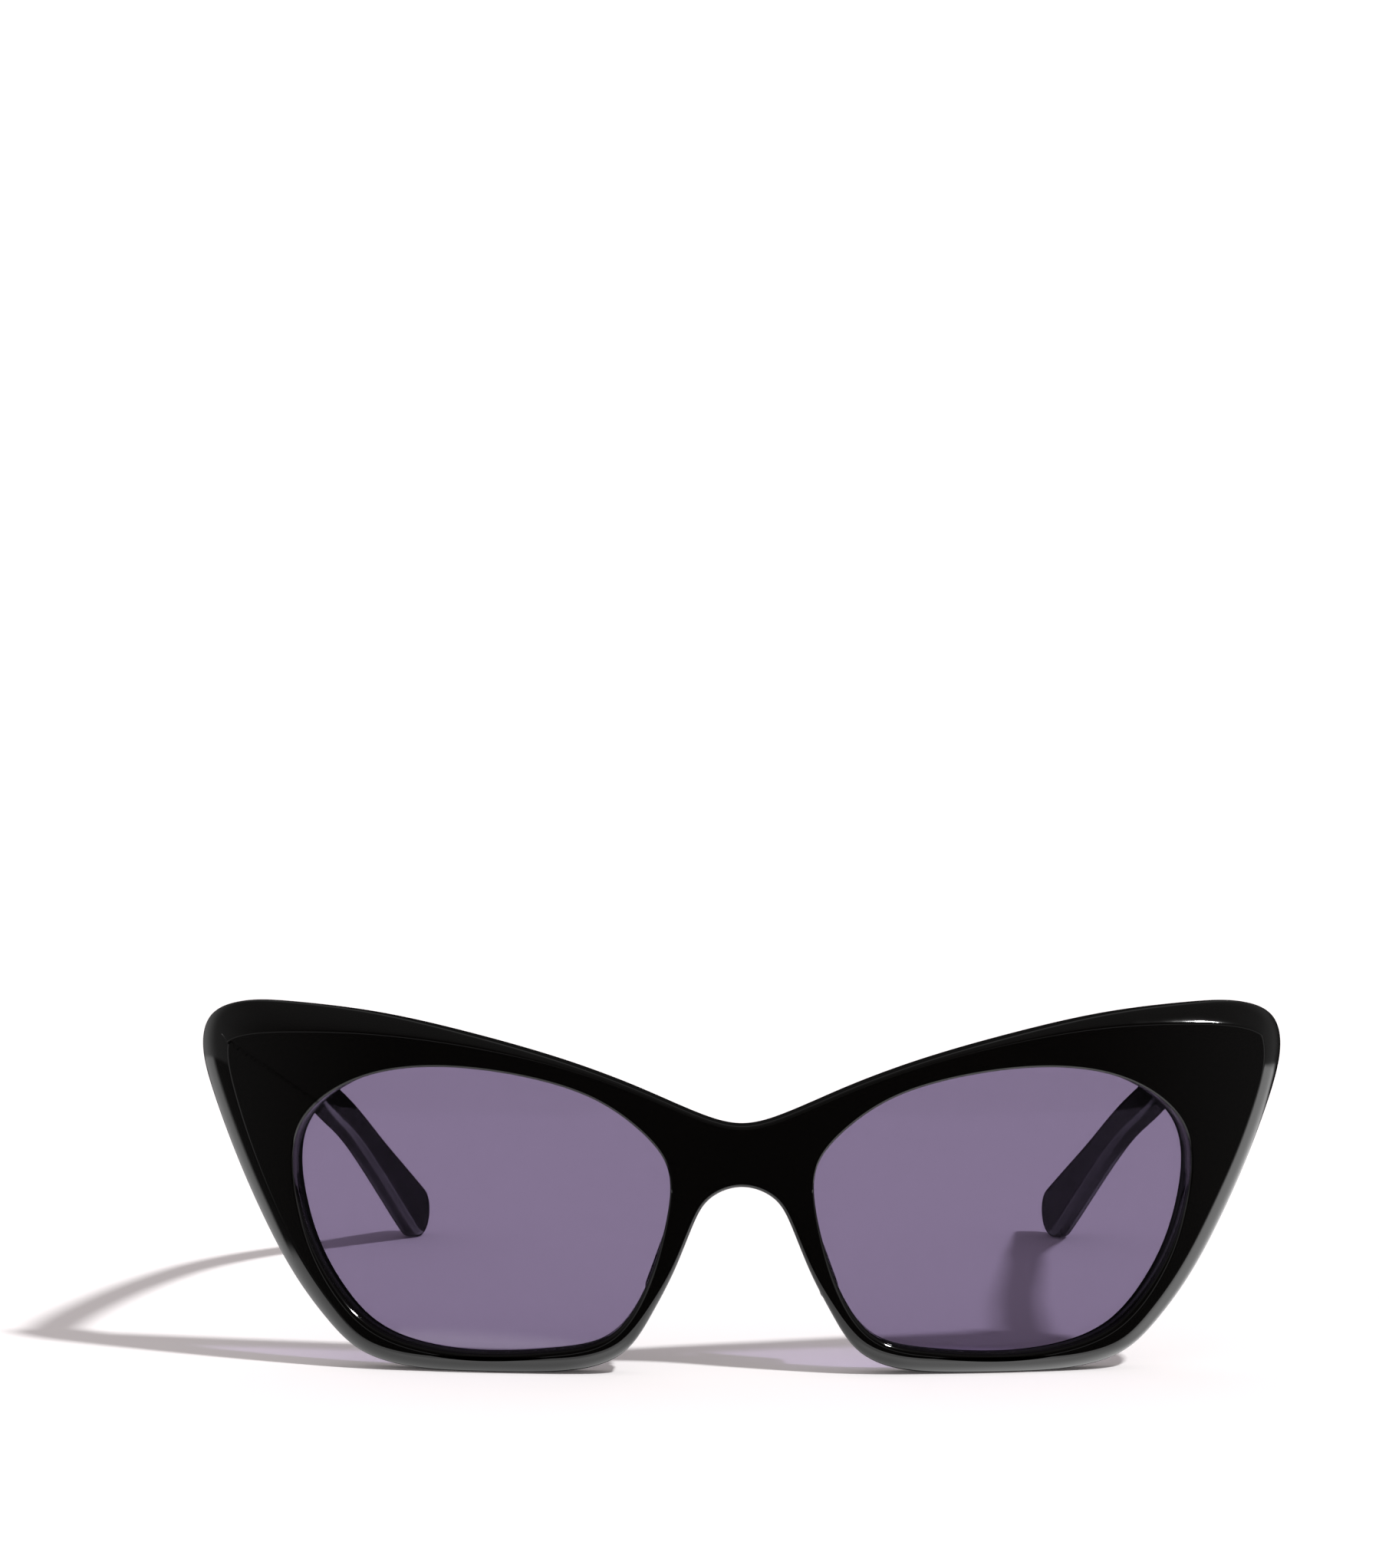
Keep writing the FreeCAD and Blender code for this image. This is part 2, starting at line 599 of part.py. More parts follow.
# ---------------------------------------------------------------- named sub-parts
SUB_PARTS = [(front, "front_frame"), (lenses[0], "lens_left"), (lenses[1], "lens_right")]
PAIRS = [(nose_pad, "nose_pad"), (front_leaf, "front_hinge"), (screw, "hinge_screw"),
         (temple, "temple"), (core_wire, "core_wire"), (temple_leaf, "temple_hinge")]
for obj, label in PAIRS:
    SUB_PARTS.append((obj, label + "_left"))
    SUB_PARTS.append((mirrored(obj), label + "_right"))
for obj, label in SUB_PARTS:
    obj.Label = label
    if obj.TypeId != "Part::Mirroring":
        if obj is screw:
            obj.setExpression("Placement.Base.y", "Dimensions.HingeBack + Dimensions.Setback")
        else:
            bind(obj, Placement__Base__y="Setback")
doc.recompute()

for obj in doc.Objects:
    if "Invalid" in obj.State or "Error" in obj.State:
        raise RuntimeError("%s did not build: %s" % (obj.Name, obj.State))
for obj, label in SUB_PARTS:
    if obj.Shape.isNull() or not obj.Shape.isValid() or len(obj.Shape.Solids) != 1:
        raise RuntimeError("%s has no single valid solid" % label)

os.makedirs("parts", exist_ok=True)
for obj, label in SUB_PARTS:
    obj.Shape.exportStep("parts/%s.step" % label)
    box = obj.Shape.BoundBox
    print("%-18s %8.1f mm3  x %6.2f..%6.2f  y %6.2f..%6.2f  z %6.2f..%6.2f"
          % (label, obj.Shape.Volume, box.XMin, box.XMax, box.YMin, box.YMax, box.ZMin, box.ZMax))
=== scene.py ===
"""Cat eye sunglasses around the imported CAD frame.

The bevelled front is a mesh of its own. It is worked out in millimetres behind the front
vertex, as in the CAD, and written in metres in the row frame. Every other piece is the CAD's,
with a material from here.
"""

import math

import bmesh
import bpy
import numpy as np
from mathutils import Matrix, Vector


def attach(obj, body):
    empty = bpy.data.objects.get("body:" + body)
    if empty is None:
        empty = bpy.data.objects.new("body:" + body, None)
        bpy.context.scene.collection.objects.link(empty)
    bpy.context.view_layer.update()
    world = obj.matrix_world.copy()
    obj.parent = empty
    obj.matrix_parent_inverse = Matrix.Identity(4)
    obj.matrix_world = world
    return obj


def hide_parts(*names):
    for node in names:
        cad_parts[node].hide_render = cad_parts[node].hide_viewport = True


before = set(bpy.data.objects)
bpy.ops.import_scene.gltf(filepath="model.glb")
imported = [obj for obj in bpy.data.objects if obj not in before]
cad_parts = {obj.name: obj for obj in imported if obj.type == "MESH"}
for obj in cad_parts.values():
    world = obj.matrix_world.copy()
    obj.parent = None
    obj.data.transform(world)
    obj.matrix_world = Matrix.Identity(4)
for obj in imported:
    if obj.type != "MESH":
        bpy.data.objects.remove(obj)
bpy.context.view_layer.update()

# ------------------------------------------------------------------ driving sizes (mm, degrees)
MM = 0.001
SETBACK = -69.35                # the front vertex in the row frame
RADIUS = 250.0                  # outer radius of the bent front
THICK = 5.0                     # acetate sheet
LENS_DEPTH = 1.25               # front of the lens behind the sheet's surface
LENS_THICK = 2.0
LENS_SPHERE_Z = 21.5            # height of the centre of the lens sphere
LENS_CENTRE = np.array([34.0, 21.0])
TONGUE = 0.5                    # how far the lens reaches into the rim

# the hand-cut bevel: how far it leans at its facet line and at the outline
LEAN_IN, LEAN_OUT = 30, 52
# between these widths it gets flatter, by this for each millimetre, to stay in the sheet
WIDE_FROM, WIDE_TO = 3.5, 5.2
FLATTER_IN, FLATTER_OUT = 6, 3.5
# on the +x half it gets steeper between these widths, by this in all
STEEP_FROM, STEEP_TO = 2, 4
STEEPER_IN, STEEPER_OUT = 5, 2
# its rounds at the facet line and at the outline, and their largest share of its width
FACET_ROUND, EDGE_ROUND = 0.8, 0.9
FACET_SHARE, EDGE_SHARE = 0.55, 1.1

BACK_ROUND, RIM_BACK_ROUND = 0.7, 0.45      # at the back of the outline and of the rim
FACET_MARGIN, MARGIN = 0.14, 0.12           # first row of the flat faces beside a round
WALL_SHARES = (0.06, 0.5, 0.94)             # rows down the outer wall
RIM_WALL_END = THICK - 0.55

# the rim's front round is narrow under the brow and broad along the lower rim
RIM_ROUND_HIGH, RIM_ROUND_MORE = 0.32, 0.5
RIM_HIGH_Z, RIM_LOW_Z = 24.0, 8.0
RIM_ROUND_DEPTH = 0.85                      # of its width

# rows round the lens groove: how far into the rim, and how far behind the lens's front
GROOVE = [
    (0.0, -0.25), (0.0, -0.06), (0.0, 0.04), (TONGUE + 0.08, 0.95),
    (0.0, LENS_THICK - 0.02), (0.0, LENS_THICK + 0.08),
]

STEPS_PER_SPAN = 14             # mesh rows between two points of the outline
EASE_STEPS = 11                 # the bevel's width is blended over this many rows each way
MIDDLE_STEPS = 12               # up the middle line, where the halves meet
FACE_STEPS = 10                 # from the outline to the rim

# ------------------------------------------------------------------ outlines (mm)
# x, z and the bevel's width there on the -x and on the +x half: half of the front, clockwise
# from the top of the bridge to the nose arch
OUTLINE = [
    (0, 32.95, 0.45, 0.45), (6, 34.4, 0.45, 0.45), (14, 37.75, 0.5, 0.45),
    (24.4, 41.45, 0.7, 0.5), (36.6, 44.75, 1.5, 0.9), (49, 47.3, 2.8, 1.8),
    (60, 48.45, 3.9, 2.8), (67, 48.4, 4.7, 3.6), (71.2, 46.5, 5.2, 4.0),
    (72.4, 42.5, 5.1, 4.0), (71.1, 36.6, 4.5, 3.1), (68, 28.4, 3.9, 2.8),
    (64.3, 20.25, 3.5, 2.9), (59.75, 12.15, 3.0, 2.6), (55.1, 6.15, 2.6, 2.3),
    (50.4, 2.2, 2.2, 2.1), (43, 0.3, 2.1, 2.1), (34, 0, 2.1, 2.1), (25, 0.15, 2.1, 2.1),
    (19.2, 1.05, 2.0, 2.0), (15.05, 3.4, 1.6, 1.6), (11.9, 8, 0.9, 0.9),
    (8.8, 14.1, 0.45, 0.45), (6.3, 20.2, 0.4, 0.4), (4.2, 23.4, 0.4, 0.4),
    (0, 24.95, 0.4, 0.4),
]
# the lens opening, clockwise
OPENING = [
    (9.45, 25.2), (10.6, 29.1), (13.9, 32.7), (19.5, 36.4), (28, 39.1), (39, 40.4),
    (48.5, 39.4), (55, 36.4), (58.7, 32.3), (59.7, 27.5), (59, 22), (57.3, 16.6),
    (54.3, 11.2), (49.6, 6.2), (43, 3.5), (34.5, 2.6), (25.5, 3.1), (19, 4.4),
    (15.4, 7.2), (12.6, 12), (10.6, 17.8),
]


# ------------------------------------------------------------------ curve and mesh helpers
class Spline:
    """Closed cubic spline through points, spaced by the root of the chord."""

    def __init__(self, points):
        p = np.array(points, float)
        p = np.vstack([p, p[:1]])
        t = np.r_[0, np.cumsum(np.linalg.norm(np.diff(p, axis=0), axis=1) ** 0.5)]
        h = np.diff(t)
        n = len(t)
        a, b = np.zeros((n, n)), np.zeros((n, 2))
        for i in range(1, n - 1):
            a[i, i - 1:i + 2] = 1 / h[i - 1], 2 / h[i - 1] + 2 / h[i], 1 / h[i]
            b[i] = 3 * (p[i] - p[i - 1]) / h[i - 1] ** 2 + 3 * (p[i + 1] - p[i]) / h[i] ** 2
        # the first and the last point are the same: one slope and one curvature
        a[0, 0], a[0, -1] = 1, -1
        a[-1, 0], a[-1, 1] = 2 / h[0], 1 / h[0]
        a[-1, -1], a[-1, -2] = a[-1, -1] + 2 / h[-1], 1 / h[-1]
        b[-1] = 3 * (p[1] - p[0]) / h[0] ** 2 + 3 * (p[-1] - p[-2]) / h[-1] ** 2
        self.t, self.p, self.m = t, p, np.linalg.solve(a, b)

    def at(self, t):
        """Position and derivative at parameters t."""
        i = np.clip(np.searchsorted(self.t, t, side="right") - 1, 0, len(self.t) - 2)
        h = (self.t[i + 1] - self.t[i])[:, None]
        u = (t - self.t[i])[:, None] / h
        p0, p1, m0, m1 = self.p[i], self.p[i + 1], self.m[i] * h, self.m[i + 1] * h
        value = ((2 * u ** 3 - 3 * u ** 2 + 1) * p0 + (u ** 3 - 2 * u ** 2 + u) * m0
                 + (-2 * u ** 3 + 3 * u ** 2) * p1 + (u ** 3 - u ** 2) * m1)
        slope = ((6 * u ** 2 - 6 * u) * p0 + (3 * u ** 2 - 4 * u + 1) * m0
                 + (-6 * u ** 2 + 6 * u) * p1 + (3 * u ** 2 - 2 * u) * m1) / h
        return value, slope


def right_of(slope):
    """Unit vectors to the right of a curve's way, which is inside where it runs clockwise."""
    along = slope / np.linalg.norm(slope, axis=1)[:, None]
    return np.stack([along[:, 1], -along[:, 0]], axis=1)


def moved(points, ways, offset):
    """Points moved along their ways, all by one offset or each by its own."""
    return points + ways * np.broadcast_to(offset, len(points))[:, None]


def bent(points, depth):
    """Points (x, z) of the bent sheet at a depth below its outer surface, in metres."""
    x, z = points.T
    keep = (RADIUS - np.broadcast_to(depth, len(x))) / RADIUS
    y = RADIUS - keep * np.sqrt(RADIUS ** 2 - x ** 2)
    return np.stack([x * keep, y + SETBACK, z], axis=-1) * MM


class Mesh:
    """Vertices and faces collected row by row."""

    WELD, SLIVER = 2e-6, 1e-7       # metres

    def __init__(self):
        self.verts, self.faces = [], []

    def add(self, points):
        first = sum(len(v) for v in self.verts)
        self.verts.append(points)
        return np.arange(first, first + len(points))

    def strip(self, a, b, closed=False):
        """Quads between two rows of the same length."""
        n = len(a)
        for i in range(n if closed else n - 1):
            j = (i + 1) % n
            self.faces.append((a[i], a[j], b[j], b[i]))

    def strips(self, rows, closed=False):
        for a, b in zip(rows, rows[1:]):
            self.strip(a, b, closed)

    def build(self, name):
        data = bpy.data.meshes.new(name)
        data.from_pydata(np.vstack(self.verts).tolist(), [], self.faces)
        obj = bpy.data.objects.new(name, data)
        bpy.context.scene.collection.objects.link(obj)
        bm = bmesh.new()
        bm.from_mesh(data)
        bmesh.ops.remove_doubles(bm, verts=bm.verts, dist=self.WELD)
        bmesh.ops.dissolve_degenerate(bm, edges=bm.edges, dist=self.SLIVER)
        bmesh.ops.recalc_face_normals(bm, faces=bm.faces)
        for face in bm.faces:
            face.smooth = True
        bm.to_mesh(data)
        bm.free()
        return obj


# ------------------------------------------------------------------ front
def eased(width):
    """Widths blended with their neighbours along the outline, mirrored at its ends."""
    kernel = np.hanning(2 * EASE_STEPS + 1)
    before, after = width[EASE_STEPS:0:-1], width[-2:-EASE_STEPS - 2:-1]
    return np.convolve(np.r_[before, width, after], kernel / kernel.sum(), mode="valid")


def half_outline(side):
    """Points of half the outline, the ways inward there and the bevel's widths."""
    points = [(x, z) for x, z, *_ in OUTLINE]
    widths = [pair[(side + 1) // 2] for _, _, *pair in OUTLINE]
    whole = Spline(points + [(-x, z) for x, z in points[-2:0:-1]])
    spans = len(points) - 1
    knots = whole.t[:spans + 1]
    t = np.interp(np.arange(spans * STEPS_PER_SPAN + 1) / STEPS_PER_SPAN,
                  np.arange(spans + 1), knots)
    outline, slope = whole.at(t)
    inward = right_of(slope)
    for end in (0, -1):
        outline[end, 0] = inward[end, 0] = 0.0      # exactly on the middle line
    return outline, inward, eased(np.interp(t, knots, widths))


def bevel_rows(width, side):
    """Rows across the bevel as (offset from the outline, depth), and its whole depth.

    A small round at the facet line, a crowned slope and another small round to the wall.
    """
    flatter = np.clip(width, WIDE_FROM, WIDE_TO) - WIDE_FROM
    steeper = (side == 1) * np.clip((width - STEEP_FROM) / (STEEP_TO - STEEP_FROM), 0, 1)
    lean_in = np.radians(LEAN_IN - FLATTER_IN * flatter + STEEPER_IN * steeper)
    lean_out = np.radians(LEAN_OUT - FLATTER_OUT * flatter + STEEPER_OUT * steeper)
    facet_round = np.minimum(FACET_ROUND, FACET_SHARE * width)
    edge_round = np.minimum(EDGE_ROUND, EDGE_SHARE * width)
    crown_offset = width - facet_round * np.sin(lean_in)
    crown_depth = facet_round * (1 - np.cos(lean_in))
    crown_width = crown_offset - edge_round * (1 - np.sin(lean_out))
    crown = crown_width / (np.sin(lean_out) - np.sin(lean_in))      # the slope's radius
    deep = (crown_depth + crown * (np.cos(lean_in) - np.cos(lean_out))
            + edge_round * np.cos(lean_out))

    rows = []
    for share in np.linspace(0, 1, 6):
        a = lean_in * share
        rows.append((width - facet_round * np.sin(a), facet_round * (1 - np.cos(a))))
    for share in np.linspace(0.1, 0.9, 9):
        a = lean_in + (lean_out - lean_in) * share
        rows.append((crown_offset - crown * (np.sin(a) - np.sin(lean_in)),
                     crown_depth + crown * (np.cos(lean_in) - np.cos(a))))
    for share in np.linspace(0, 1, 7):
        a = lean_out + (math.pi / 2 - lean_out) * share
        rows.append((edge_round * (1 - np.sin(a)), deep - edge_round * np.cos(a)))
    return rows, deep


def back_rows(radius, angles):
    """Rows over the round between a wall and the back face, then the face's first row."""
    rows = [(radius * (1 - math.cos(a)), THICK - radius + radius * math.sin(a)) for a in angles]
    return rows + [(radius + MARGIN, THICK)]


def rim_facing(loop):
    """The rim's point on the ray from the lens centre to each point of a loop, and the way
    out of the opening there."""

    def angles(points):
        x, z = (points - LENS_CENTRE).T
        return np.unwrap(np.arctan2(z, x))

    opening = Spline(OPENING)
    t = np.linspace(0, opening.t[-1], 4001)
    rim_angle = angles(opening.at(t)[0])
    low = rim_angle.min()
    wrapped = (angles(loop) - low) % (2 * math.pi) + low
    order = np.argsort(rim_angle)
    rim, slope = opening.at(np.interp(wrapped, rim_angle[order], t[order]))
    return rim, -right_of(slope)


def rim_rows(rim):
    """Rows from the front face over the rim's round and groove to the back face, and how far
    the round reaches into the front face."""
    lowness = np.clip((RIM_HIGH_Z - rim[:, 1]) / (RIM_HIGH_Z - RIM_LOW_Z), 0, 1)
    reach = RIM_ROUND_HIGH + RIM_ROUND_MORE * lowness ** 2 * (3 - 2 * lowness)
    lens_front = LENS_DEPTH + (rim[:, 1] - LENS_SPHERE_Z) ** 2 / (2 * RADIUS)
    rows = [(reach + MARGIN, 0.0)]
    for a in np.linspace(0, math.pi / 2, 8):
        rows.append((reach * (1 - math.sin(a)), RIM_ROUND_DEPTH * reach * (1 - math.cos(a))))
    rows += [(offset, lens_front + behind) for offset, behind in GROOVE]
    rows.append((0.0, RIM_WALL_END))
    return rows + back_rows(RIM_BACK_ROUND, np.linspace(0, math.pi / 2, 5)[1:]), reach


def front_half(mesh, side):
    """One half of the front: side is 1 for +x and -1 for -x."""
    outline, inward, width = half_outline(side)
    bevel, deep = bevel_rows(width, side)
    # the sheet is narrower inside its bend, and the outline is seen where the bevel ends
    stretch = np.stack([RADIUS / (RADIUS - deep), np.ones_like(deep)], axis=1)

    def row(points, depth):
        return mesh.add(bent(points, depth) * (side, 1, 1))

    def edge(offset):
        return moved(outline, inward, offset) * stretch

    wall = [(0.0, deep + (THICK - BACK_ROUND - deep) * share) for share in WALL_SHARES]
    across = [(width + FACET_MARGIN, 0.0)] + bevel + wall
    across += back_rows(BACK_ROUND, np.linspace(0, math.pi / 2, 6))
    outer = [row(edge(offset), depth) for offset, depth in across]
    mesh.strips(outer)

    def border(offset):
        """Closed loop of sheet points round the half, inside the outline."""
        low, high = outline[-1, 1] + offset[-1], outline[0, 1] - offset[0]
        up = low + (high - low) * np.arange(1, MIDDLE_STEPS) / MIDDLE_STEPS
        return np.vstack([edge(offset), np.stack([np.zeros_like(up), up], axis=1)])

    rim, out = rim_facing(border(width + FACET_MARGIN))
    across, reach = rim_rows(rim)
    inner = [row(moved(rim, out, offset), depth) for offset, depth in across]
    mesh.strips(inner, closed=True)

    def face(outer_row, outer_offset, inner_row, inner_offset, depth):
        """A flat face between the outline's row and the rim's row at the same depth."""
        start, end = border(outer_offset), moved(rim, out, inner_offset)
        rows = [np.r_[outer_row, row(start[len(outline):], depth)]]
        for k in range(1, FACE_STEPS):
            rows.append(row(start + (end - start) * k / FACE_STEPS, depth))
        mesh.strips(rows + [inner_row], closed=True)

    face(outer[0], width + FACET_MARGIN, inner[0], reach + MARGIN, 0.0)
    face(outer[-1], np.full_like(width, BACK_ROUND + MARGIN), inner[-1],
         RIM_BACK_ROUND + MARGIN, THICK)


def set_face_normals(data):
    """The sheet's two faces are parts of cylinders: give them those normals exactly."""
    axis = np.array([0.0, (RADIUS + SETBACK) * MM])
    near = 0.0005                   # mm from a face
    normals = []
    for vertex in data.vertices:
        across = np.array(vertex.co[:2]) - axis
        reach = np.linalg.norm(across)
        depth = RADIUS - reach / MM
        if near <= depth <= THICK - near:
            normals.append(tuple(vertex.normal))
        else:
            way = 1 if depth < near else -1
            normals.append((way * across[0] / reach, way * across[1] / reach, 0.0))
    data.normals_split_custom_set_from_vertices(normals)


def build_front():
    mesh = Mesh()
    for side in (1, -1):
        front_half(mesh, side)
    obj = mesh.build("front_acetate")
    set_face_normals(obj.data)
    return obj


front = build_front()
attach(front, "front")
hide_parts("front_frame")


# ------------------------------------------------------------------ materials
def new_material(name, tone, **values):
    """A material, its node tree and its Principled shader with a base colour and values."""
    material = bpy.data.materials.new(name)
    material.use_nodes = True
    shader = material.node_tree.nodes["Principled BSDF"]
    shader.inputs["Base Color"].default_value = (*tone, 1)
    for key, value in values.items():
        shader.inputs[key.replace("_", " ")].default_value = value
    return material, material.node_tree, shader


def node(tree, kind, **values):
    """A new node with values for its inputs."""
    made = tree.nodes.new(kind)
    for key, value in values.items():
        made.inputs[key.replace("_", " ")].default_value = value
    return made


def noise(tree, **values):
    """Noise fixed to the object."""
    place = node(tree, "ShaderNodeTexCoord")
    made = node(tree, "ShaderNodeTexNoise", **values)
    tree.links.new(place.outputs["Object"], made.inputs["Vector"])
    return made.outputs["Fac"]


def vary_roughness(tree, shader, pattern, low, high, **span):
    """Roughness from low to high along the pattern, or along a span of it."""
    spread = node(tree, "ShaderNodeMapRange", To_Min=low, To_Max=high, **span)
    tree.links.new(pattern, spread.inputs["Value"])
    tree.links.new(spread.outputs["Result"], shader.inputs["Roughness"])


def raise_surface(tree, shader, pattern, strength, distance):
    """A bump where the pattern is high."""
    bump = node(tree, "ShaderNodeBump", Strength=strength, Distance=distance)
    tree.links.new(pattern, bump.inputs["Height"])
    tree.links.new(bump.outputs["Normal"], shader.inputs["Normal"])


def acetate(name, tone, rough, shine=0.5):
    """Polished black acetate: a slightly uneven polish and a faint waviness."""
    material, tree, shader = new_material(name, tone, IOR=1.49, Specular_IOR_Level=shine)
    haze = noise(tree, Scale=260.0, Detail=5.0, Roughness=0.6)
    vary_roughness(tree, shader, haze, rough * 0.8, rough * 1.5, From_Min=0.35, From_Max=0.75)
    raise_surface(tree, shader, noise(tree, Scale=55.0, Detail=2.0), 0.05, 0.0004)
    return material


def tinted(name, tone, shadow_tone):
    """Polished CR-39 with a tint of its own for the light that it lets into the shadow."""
    material, tree, shader = new_material(name, tone, Roughness=0.0, IOR=1.5,
                                          Transmission_Weight=1.0)
    clear = node(tree, "ShaderNodeBsdfTransparent", Color=(*shadow_tone, 1))
    path = node(tree, "ShaderNodeLightPath")
    mix = node(tree, "ShaderNodeMixShader")
    tree.links.new(path.outputs["Is Shadow Ray"], mix.inputs["Fac"])
    tree.links.new(shader.outputs["BSDF"], mix.inputs[1])
    tree.links.new(clear.outputs["BSDF"], mix.inputs[2])
    tree.links.new(mix.outputs["Shader"], tree.nodes["Material Output"].inputs["Surface"])
    return material


def metal(name, tone, rough):
    """Tumbled metal with a fine grain."""
    material, tree, shader = new_material(name, tone, Metallic=1.0)
    grain = noise(tree, Scale=2500.0, Detail=4.0)
    vary_roughness(tree, shader, grain, rough * 0.7, rough * 1.4)
    raise_surface(tree, shader, grain, 0.2, 0.00002)
    return material


FRONT_BLACK, TEMPLE_BLACK = (0.0014, 0.0012, 0.0011), (0.0018, 0.0016, 0.0015)
VIOLET_GREY, VIOLET_SHADOW = (0.207, 0.168, 0.271), (0.455, 0.41, 0.521)
NICKEL_SILVER, STEEL, WIRE = (0.62, 0.59, 0.54), (0.62, 0.62, 0.63), (0.58, 0.56, 0.52)

front.data.materials.append(acetate("front_acetate_black", FRONT_BLACK, rough=0.06))
temple_black = acetate("temple_acetate_black", TEMPLE_BLACK, rough=0.14, shine=0.22)
hinge_metal = metal("hinge_nickel_silver", NICKEL_SILVER, rough=0.28)
FINISHES = {
    "lens": tinted("lens_violet_grey", VIOLET_GREY, VIOLET_SHADOW),
    "nose_pad": temple_black,
    "temple": temple_black,
    "front_hinge": hinge_metal,
    "temple_hinge": hinge_metal,
    "hinge_screw": metal("screw_steel", STEEL, rough=0.2),
    "core_wire": metal("core_nickel_silver", WIRE, rough=0.35),
}
for piece, finish in FINISHES.items():
    for hand in ("left", "right"):
        for material_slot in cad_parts[piece + "_" + hand].material_slots:
            material_slot.material = finish

# ------------------------------------------------------------------ floor and key light
FLOOR_SIZE = 8                      # metres
FLOOR_TONE = (0.9, 0.88, 0.885)
SUN_STRENGTH, SUN_ANGLE = 2.8, 4.2
SUN_WAY = (-0.67, 0.5, -1.0)        # from high in front on the right

scene = bpy.context.scene
bpy.ops.mesh.primitive_plane_add(size=FLOOR_SIZE, location=(0, 0, 0))
floor = bpy.context.object
floor.name = "floor"
floor_white, *_ = new_material("floor_white", FLOOR_TONE, Roughness=0.9,
                               Specular_IOR_Level=0.0)
floor.data.materials.append(floor_white)
floor.visible_glossy = False        # polished faces see the world's table instead

sun = bpy.data.lights.new("key", "SUN")
sun.energy = SUN_STRENGTH
sun.angle = math.radians(SUN_ANGLE)
key = bpy.data.objects.new("key", sun)
scene.collection.objects.link(key)
key.rotation_euler = Vector(SUN_WAY).to_track_quat("-Z", "Y").to_euler()

# ------------------------------------------------------------------ world
FILL, FILL_TONE = 0.56, (1.0, 0.935, 0.935)
BACKDROP = 1.4                      # the white that the camera sees behind the object
DARK_ROOM = 0.011                   # the least that polished faces see

world = bpy.data.worlds.new("studio")
scene.world = world
world.use_nodes = True
world_tree = world.node_tree
world_tree.nodes.clear()
link = world_tree.links.new


class Term:
    """A number in the world's node tree. Terms add, subtract and multiply into new ones."""

    def __init__(self, socket):
        self.socket = socket

    def __add__(self, other):
        return maths("ADD", self, other)

    def __sub__(self, other):
        return maths("SUBTRACT", self, other)

    def __rsub__(self, other):
        return maths("SUBTRACT", other, self)

    def __mul__(self, other):
        return maths("MULTIPLY", self, other)


def maths(operation, *terms):
    made = node(world_tree, "ShaderNodeMath")
    made.operation = operation
    for socket, term in zip(made.inputs, terms):
        if isinstance(term, Term):
            link(term.socket, socket)
        else:
            socket.default_value = term
    return Term(made.outputs[0])


def ramp(term, low, high, to_low, to_high):
    """to_low where the term is below low, to_high where it is above high, smooth between."""
    made = node(world_tree, "ShaderNodeMapRange", From_Min=low, From_Max=high,
                To_Min=to_low, To_Max=to_high)
    made.interpolation_type = "SMOOTHSTEP"
    link(term.socket, made.inputs["Value"])
    return Term(made.outputs["Result"])


def mixed(share, a, b):
    """a where share is 0, b where it is 1."""
    return (1.0 - share) * a + share * b


# the way that a ray goes: x to the right, y to the back, z up
axes = node(world_tree, "ShaderNodeSeparateXYZ")
link(node(world_tree, "ShaderNodeTexCoord").outputs["Generated"], axes.inputs[0])
X, Y, Z = (Term(axes.outputs[name]) for name in "XYZ")
sideways = maths("ABSOLUTE", X)

# where polished faces see the white table: low in front, higher at the sides, lower again at
# the back, not straight behind, and less behind on the left
table_front = ramp(Z + X * 0.055, -0.306, -0.294, 1.0, 0.0)
table_side = ramp(Z, -0.19, -0.16, 1.0, 0.0)
table_back = ramp(Z, -0.28, -0.22, 1.0, 0.0)
table = mixed(ramp(Y, -0.45, -0.2, 0.0, 1.0), table_front, table_side)
table = mixed(ramp(Y, 0.6, 0.75, 0.0, 1.0), table, table_back)
table = table * ramp(Y - sideways, 0.36, 0.44, 1.0, 0.03)
left_far = ramp(X, -0.1, 0.1, 1.0, 0.0) * ramp(Y, 0.74, 0.86, 0.0, 0.8)
table = table * (1.0 - left_far * ramp(Z, -0.45, -0.35, 1.0, 0.0))

# how light the table is: lighter on the right and straight below, dark far out on the left
right_side = ramp(X, 0.55, 0.8, 0.0, 1.0) * ramp(Y, 0.1, 0.5, 0.8, 0.2)
right_far = ramp(X, 0.2, 0.4, 0.0, 1.0) * ramp(Y, 0.45, 0.8, 0.0, 0.4)
right_middle = (ramp(X, -0.1, 0.3, 0.0, 1.2) * ramp(X, 0.45, 0.7, 1.0, 0.0)
                * ramp(Y, -0.2, 0.3, 0.2, 0.8))
under = ramp(Z, -0.9, -0.75, 1.0, 0.0) * ramp(Y, -0.4, 0.0, 0.5, 0.0)
left_dark = (ramp(X, -0.72, -0.5, 1.0, 0.0) * ramp(Y, 0.22, 0.38, 1.0, 0.0)
             * ramp(Z, -0.47, -0.43, 0.0, 1.0))
table_light = ramp(X, -0.1, 0.1, 1.2, 1.4) + right_middle + right_side + right_far + under
table_light = table_light * (1.0 - left_dark * 0.95)

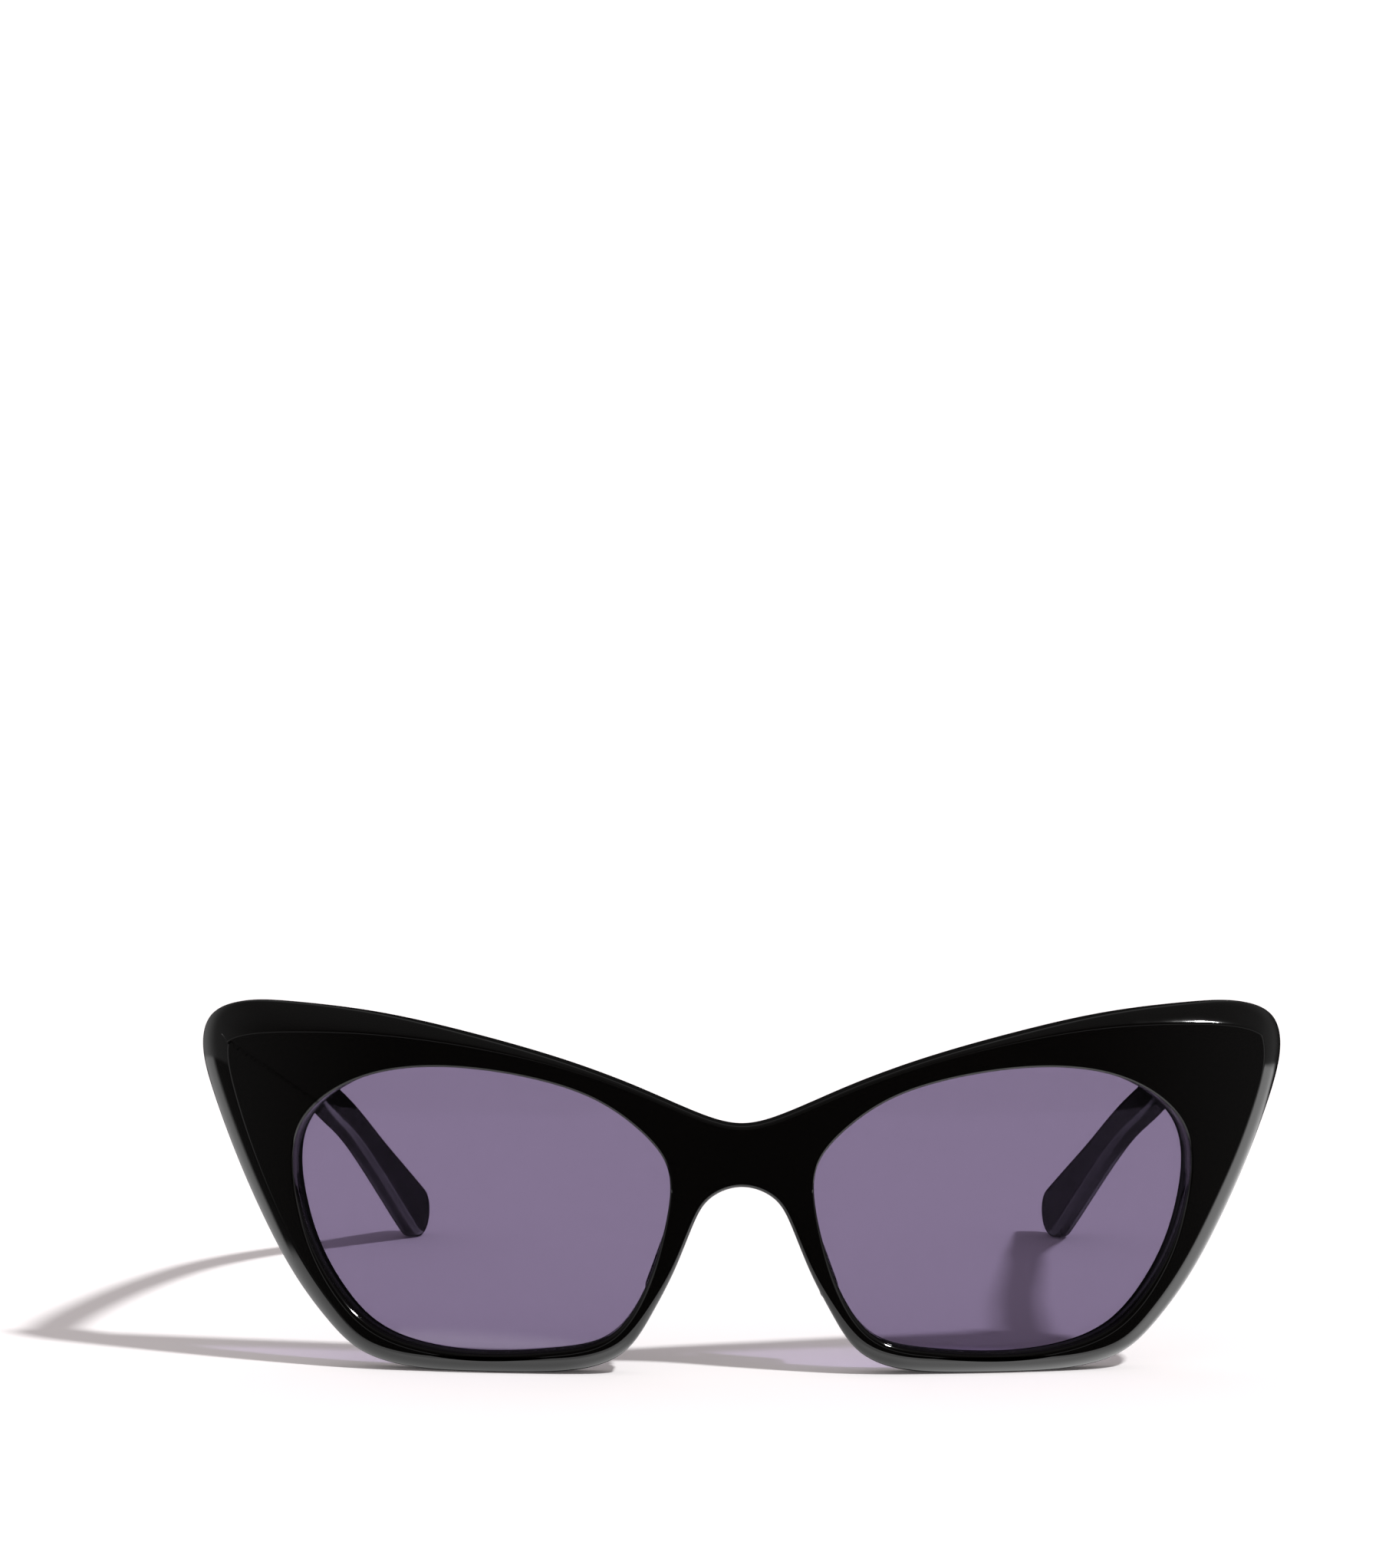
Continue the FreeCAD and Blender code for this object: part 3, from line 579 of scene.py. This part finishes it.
# the dark room above it: pale side walls, a soft light high behind, a dim ceiling, and in
# front a pale strip at both sides of a dark middle and above it
left_wall = ramp(X, -0.9, -0.4, 0.7, 0.0) * ramp(Y, 0.1, 0.6, 0.3, 1.0)
right_wall = ramp(X, 0.4, 0.9, 0.0, 0.2) * ramp(Y, 0.5, 0.8, 1.0, 0.2)
back_light = ramp(Y, 0.2, 0.7, 0.0, 0.22) * ramp(Z, 0.3, 0.7, 0.0, 1.0)
ceiling = ramp(Z, 0.6, 0.95, 0.0, 0.1)
off_middle = maths("MAXIMUM", sideways - 0.75, Z - 0.03)
strip = (ramp(off_middle, 0.0, 0.04, 0.0, 1.0) * ramp(off_middle, 0.12, 0.22, 1.0, 0.0)
         * ramp(Y, -0.4, -0.1, 0.45, 0.0) * ramp(Z, -0.42, -0.34, 0.0, 1.0))
room = left_wall + right_wall + back_light + ceiling + strip + DARK_ROOM

# glossy rays see the table and the room, the camera sees white, and the rest is plain fill
path = node(world_tree, "ShaderNodeLightPath")
glossy, to_camera = (Term(path.outputs[name]) for name in ("Is Glossy Ray", "Is Camera Ray"))
strength = glossy * mixed(table, room, table_light) + (1.0 - glossy) * FILL
tone = node(world_tree, "ShaderNodeMix")
tone.data_type = "RGBA"
mix_from, mix_to, mix_result = tone.inputs[6], tone.inputs[7], tone.outputs[2]
mix_from.default_value = (*FILL_TONE, 1)
mix_to.default_value = (1, 1, 1, 1)
link(maths("MAXIMUM", glossy, to_camera).socket, tone.inputs["Factor"])
background = node(world_tree, "ShaderNodeBackground")
link(mix_result, background.inputs["Color"])
link(maths("MAXIMUM", strength, to_camera * BACKDROP).socket, background.inputs["Strength"])
output = node(world_tree, "ShaderNodeOutputWorld")
link(background.outputs[0], output.inputs["Surface"])

scene.view_settings.view_transform = "Standard"
scene.view_settings.look = "None"
scene.view_settings.exposure = 0.0
scene.view_settings.gamma = 1.0

# ------------------------------------------------------------------ camera
DISTANCE, ELEVATION = 540.0, math.radians(9.8)      # from the front vertex
ASIDE = -4.2                                        # mm to the left of the middle
LOOK_DOWN, LOOK_LEFT = math.radians(1.514), math.radians(0.29)
FOCAL_LENGTH, SENSOR = 93.48728, 36.0

cam_data = bpy.data.cameras.new("camera")
cam_data.sensor_fit = "AUTO"
cam_data.sensor_width = SENSOR
cam_data.lens = FOCAL_LENGTH
cam_data.clip_start = 0.01
cam = bpy.data.objects.new("camera", cam_data)
scene.collection.objects.link(cam)
cam.location = (ASIDE * MM, (SETBACK - DISTANCE * math.cos(ELEVATION)) * MM,
                DISTANCE * math.sin(ELEVATION) * MM)
cam.rotation_euler = (math.pi / 2 - LOOK_DOWN, 0, LOOK_LEFT)
scene.camera = cam
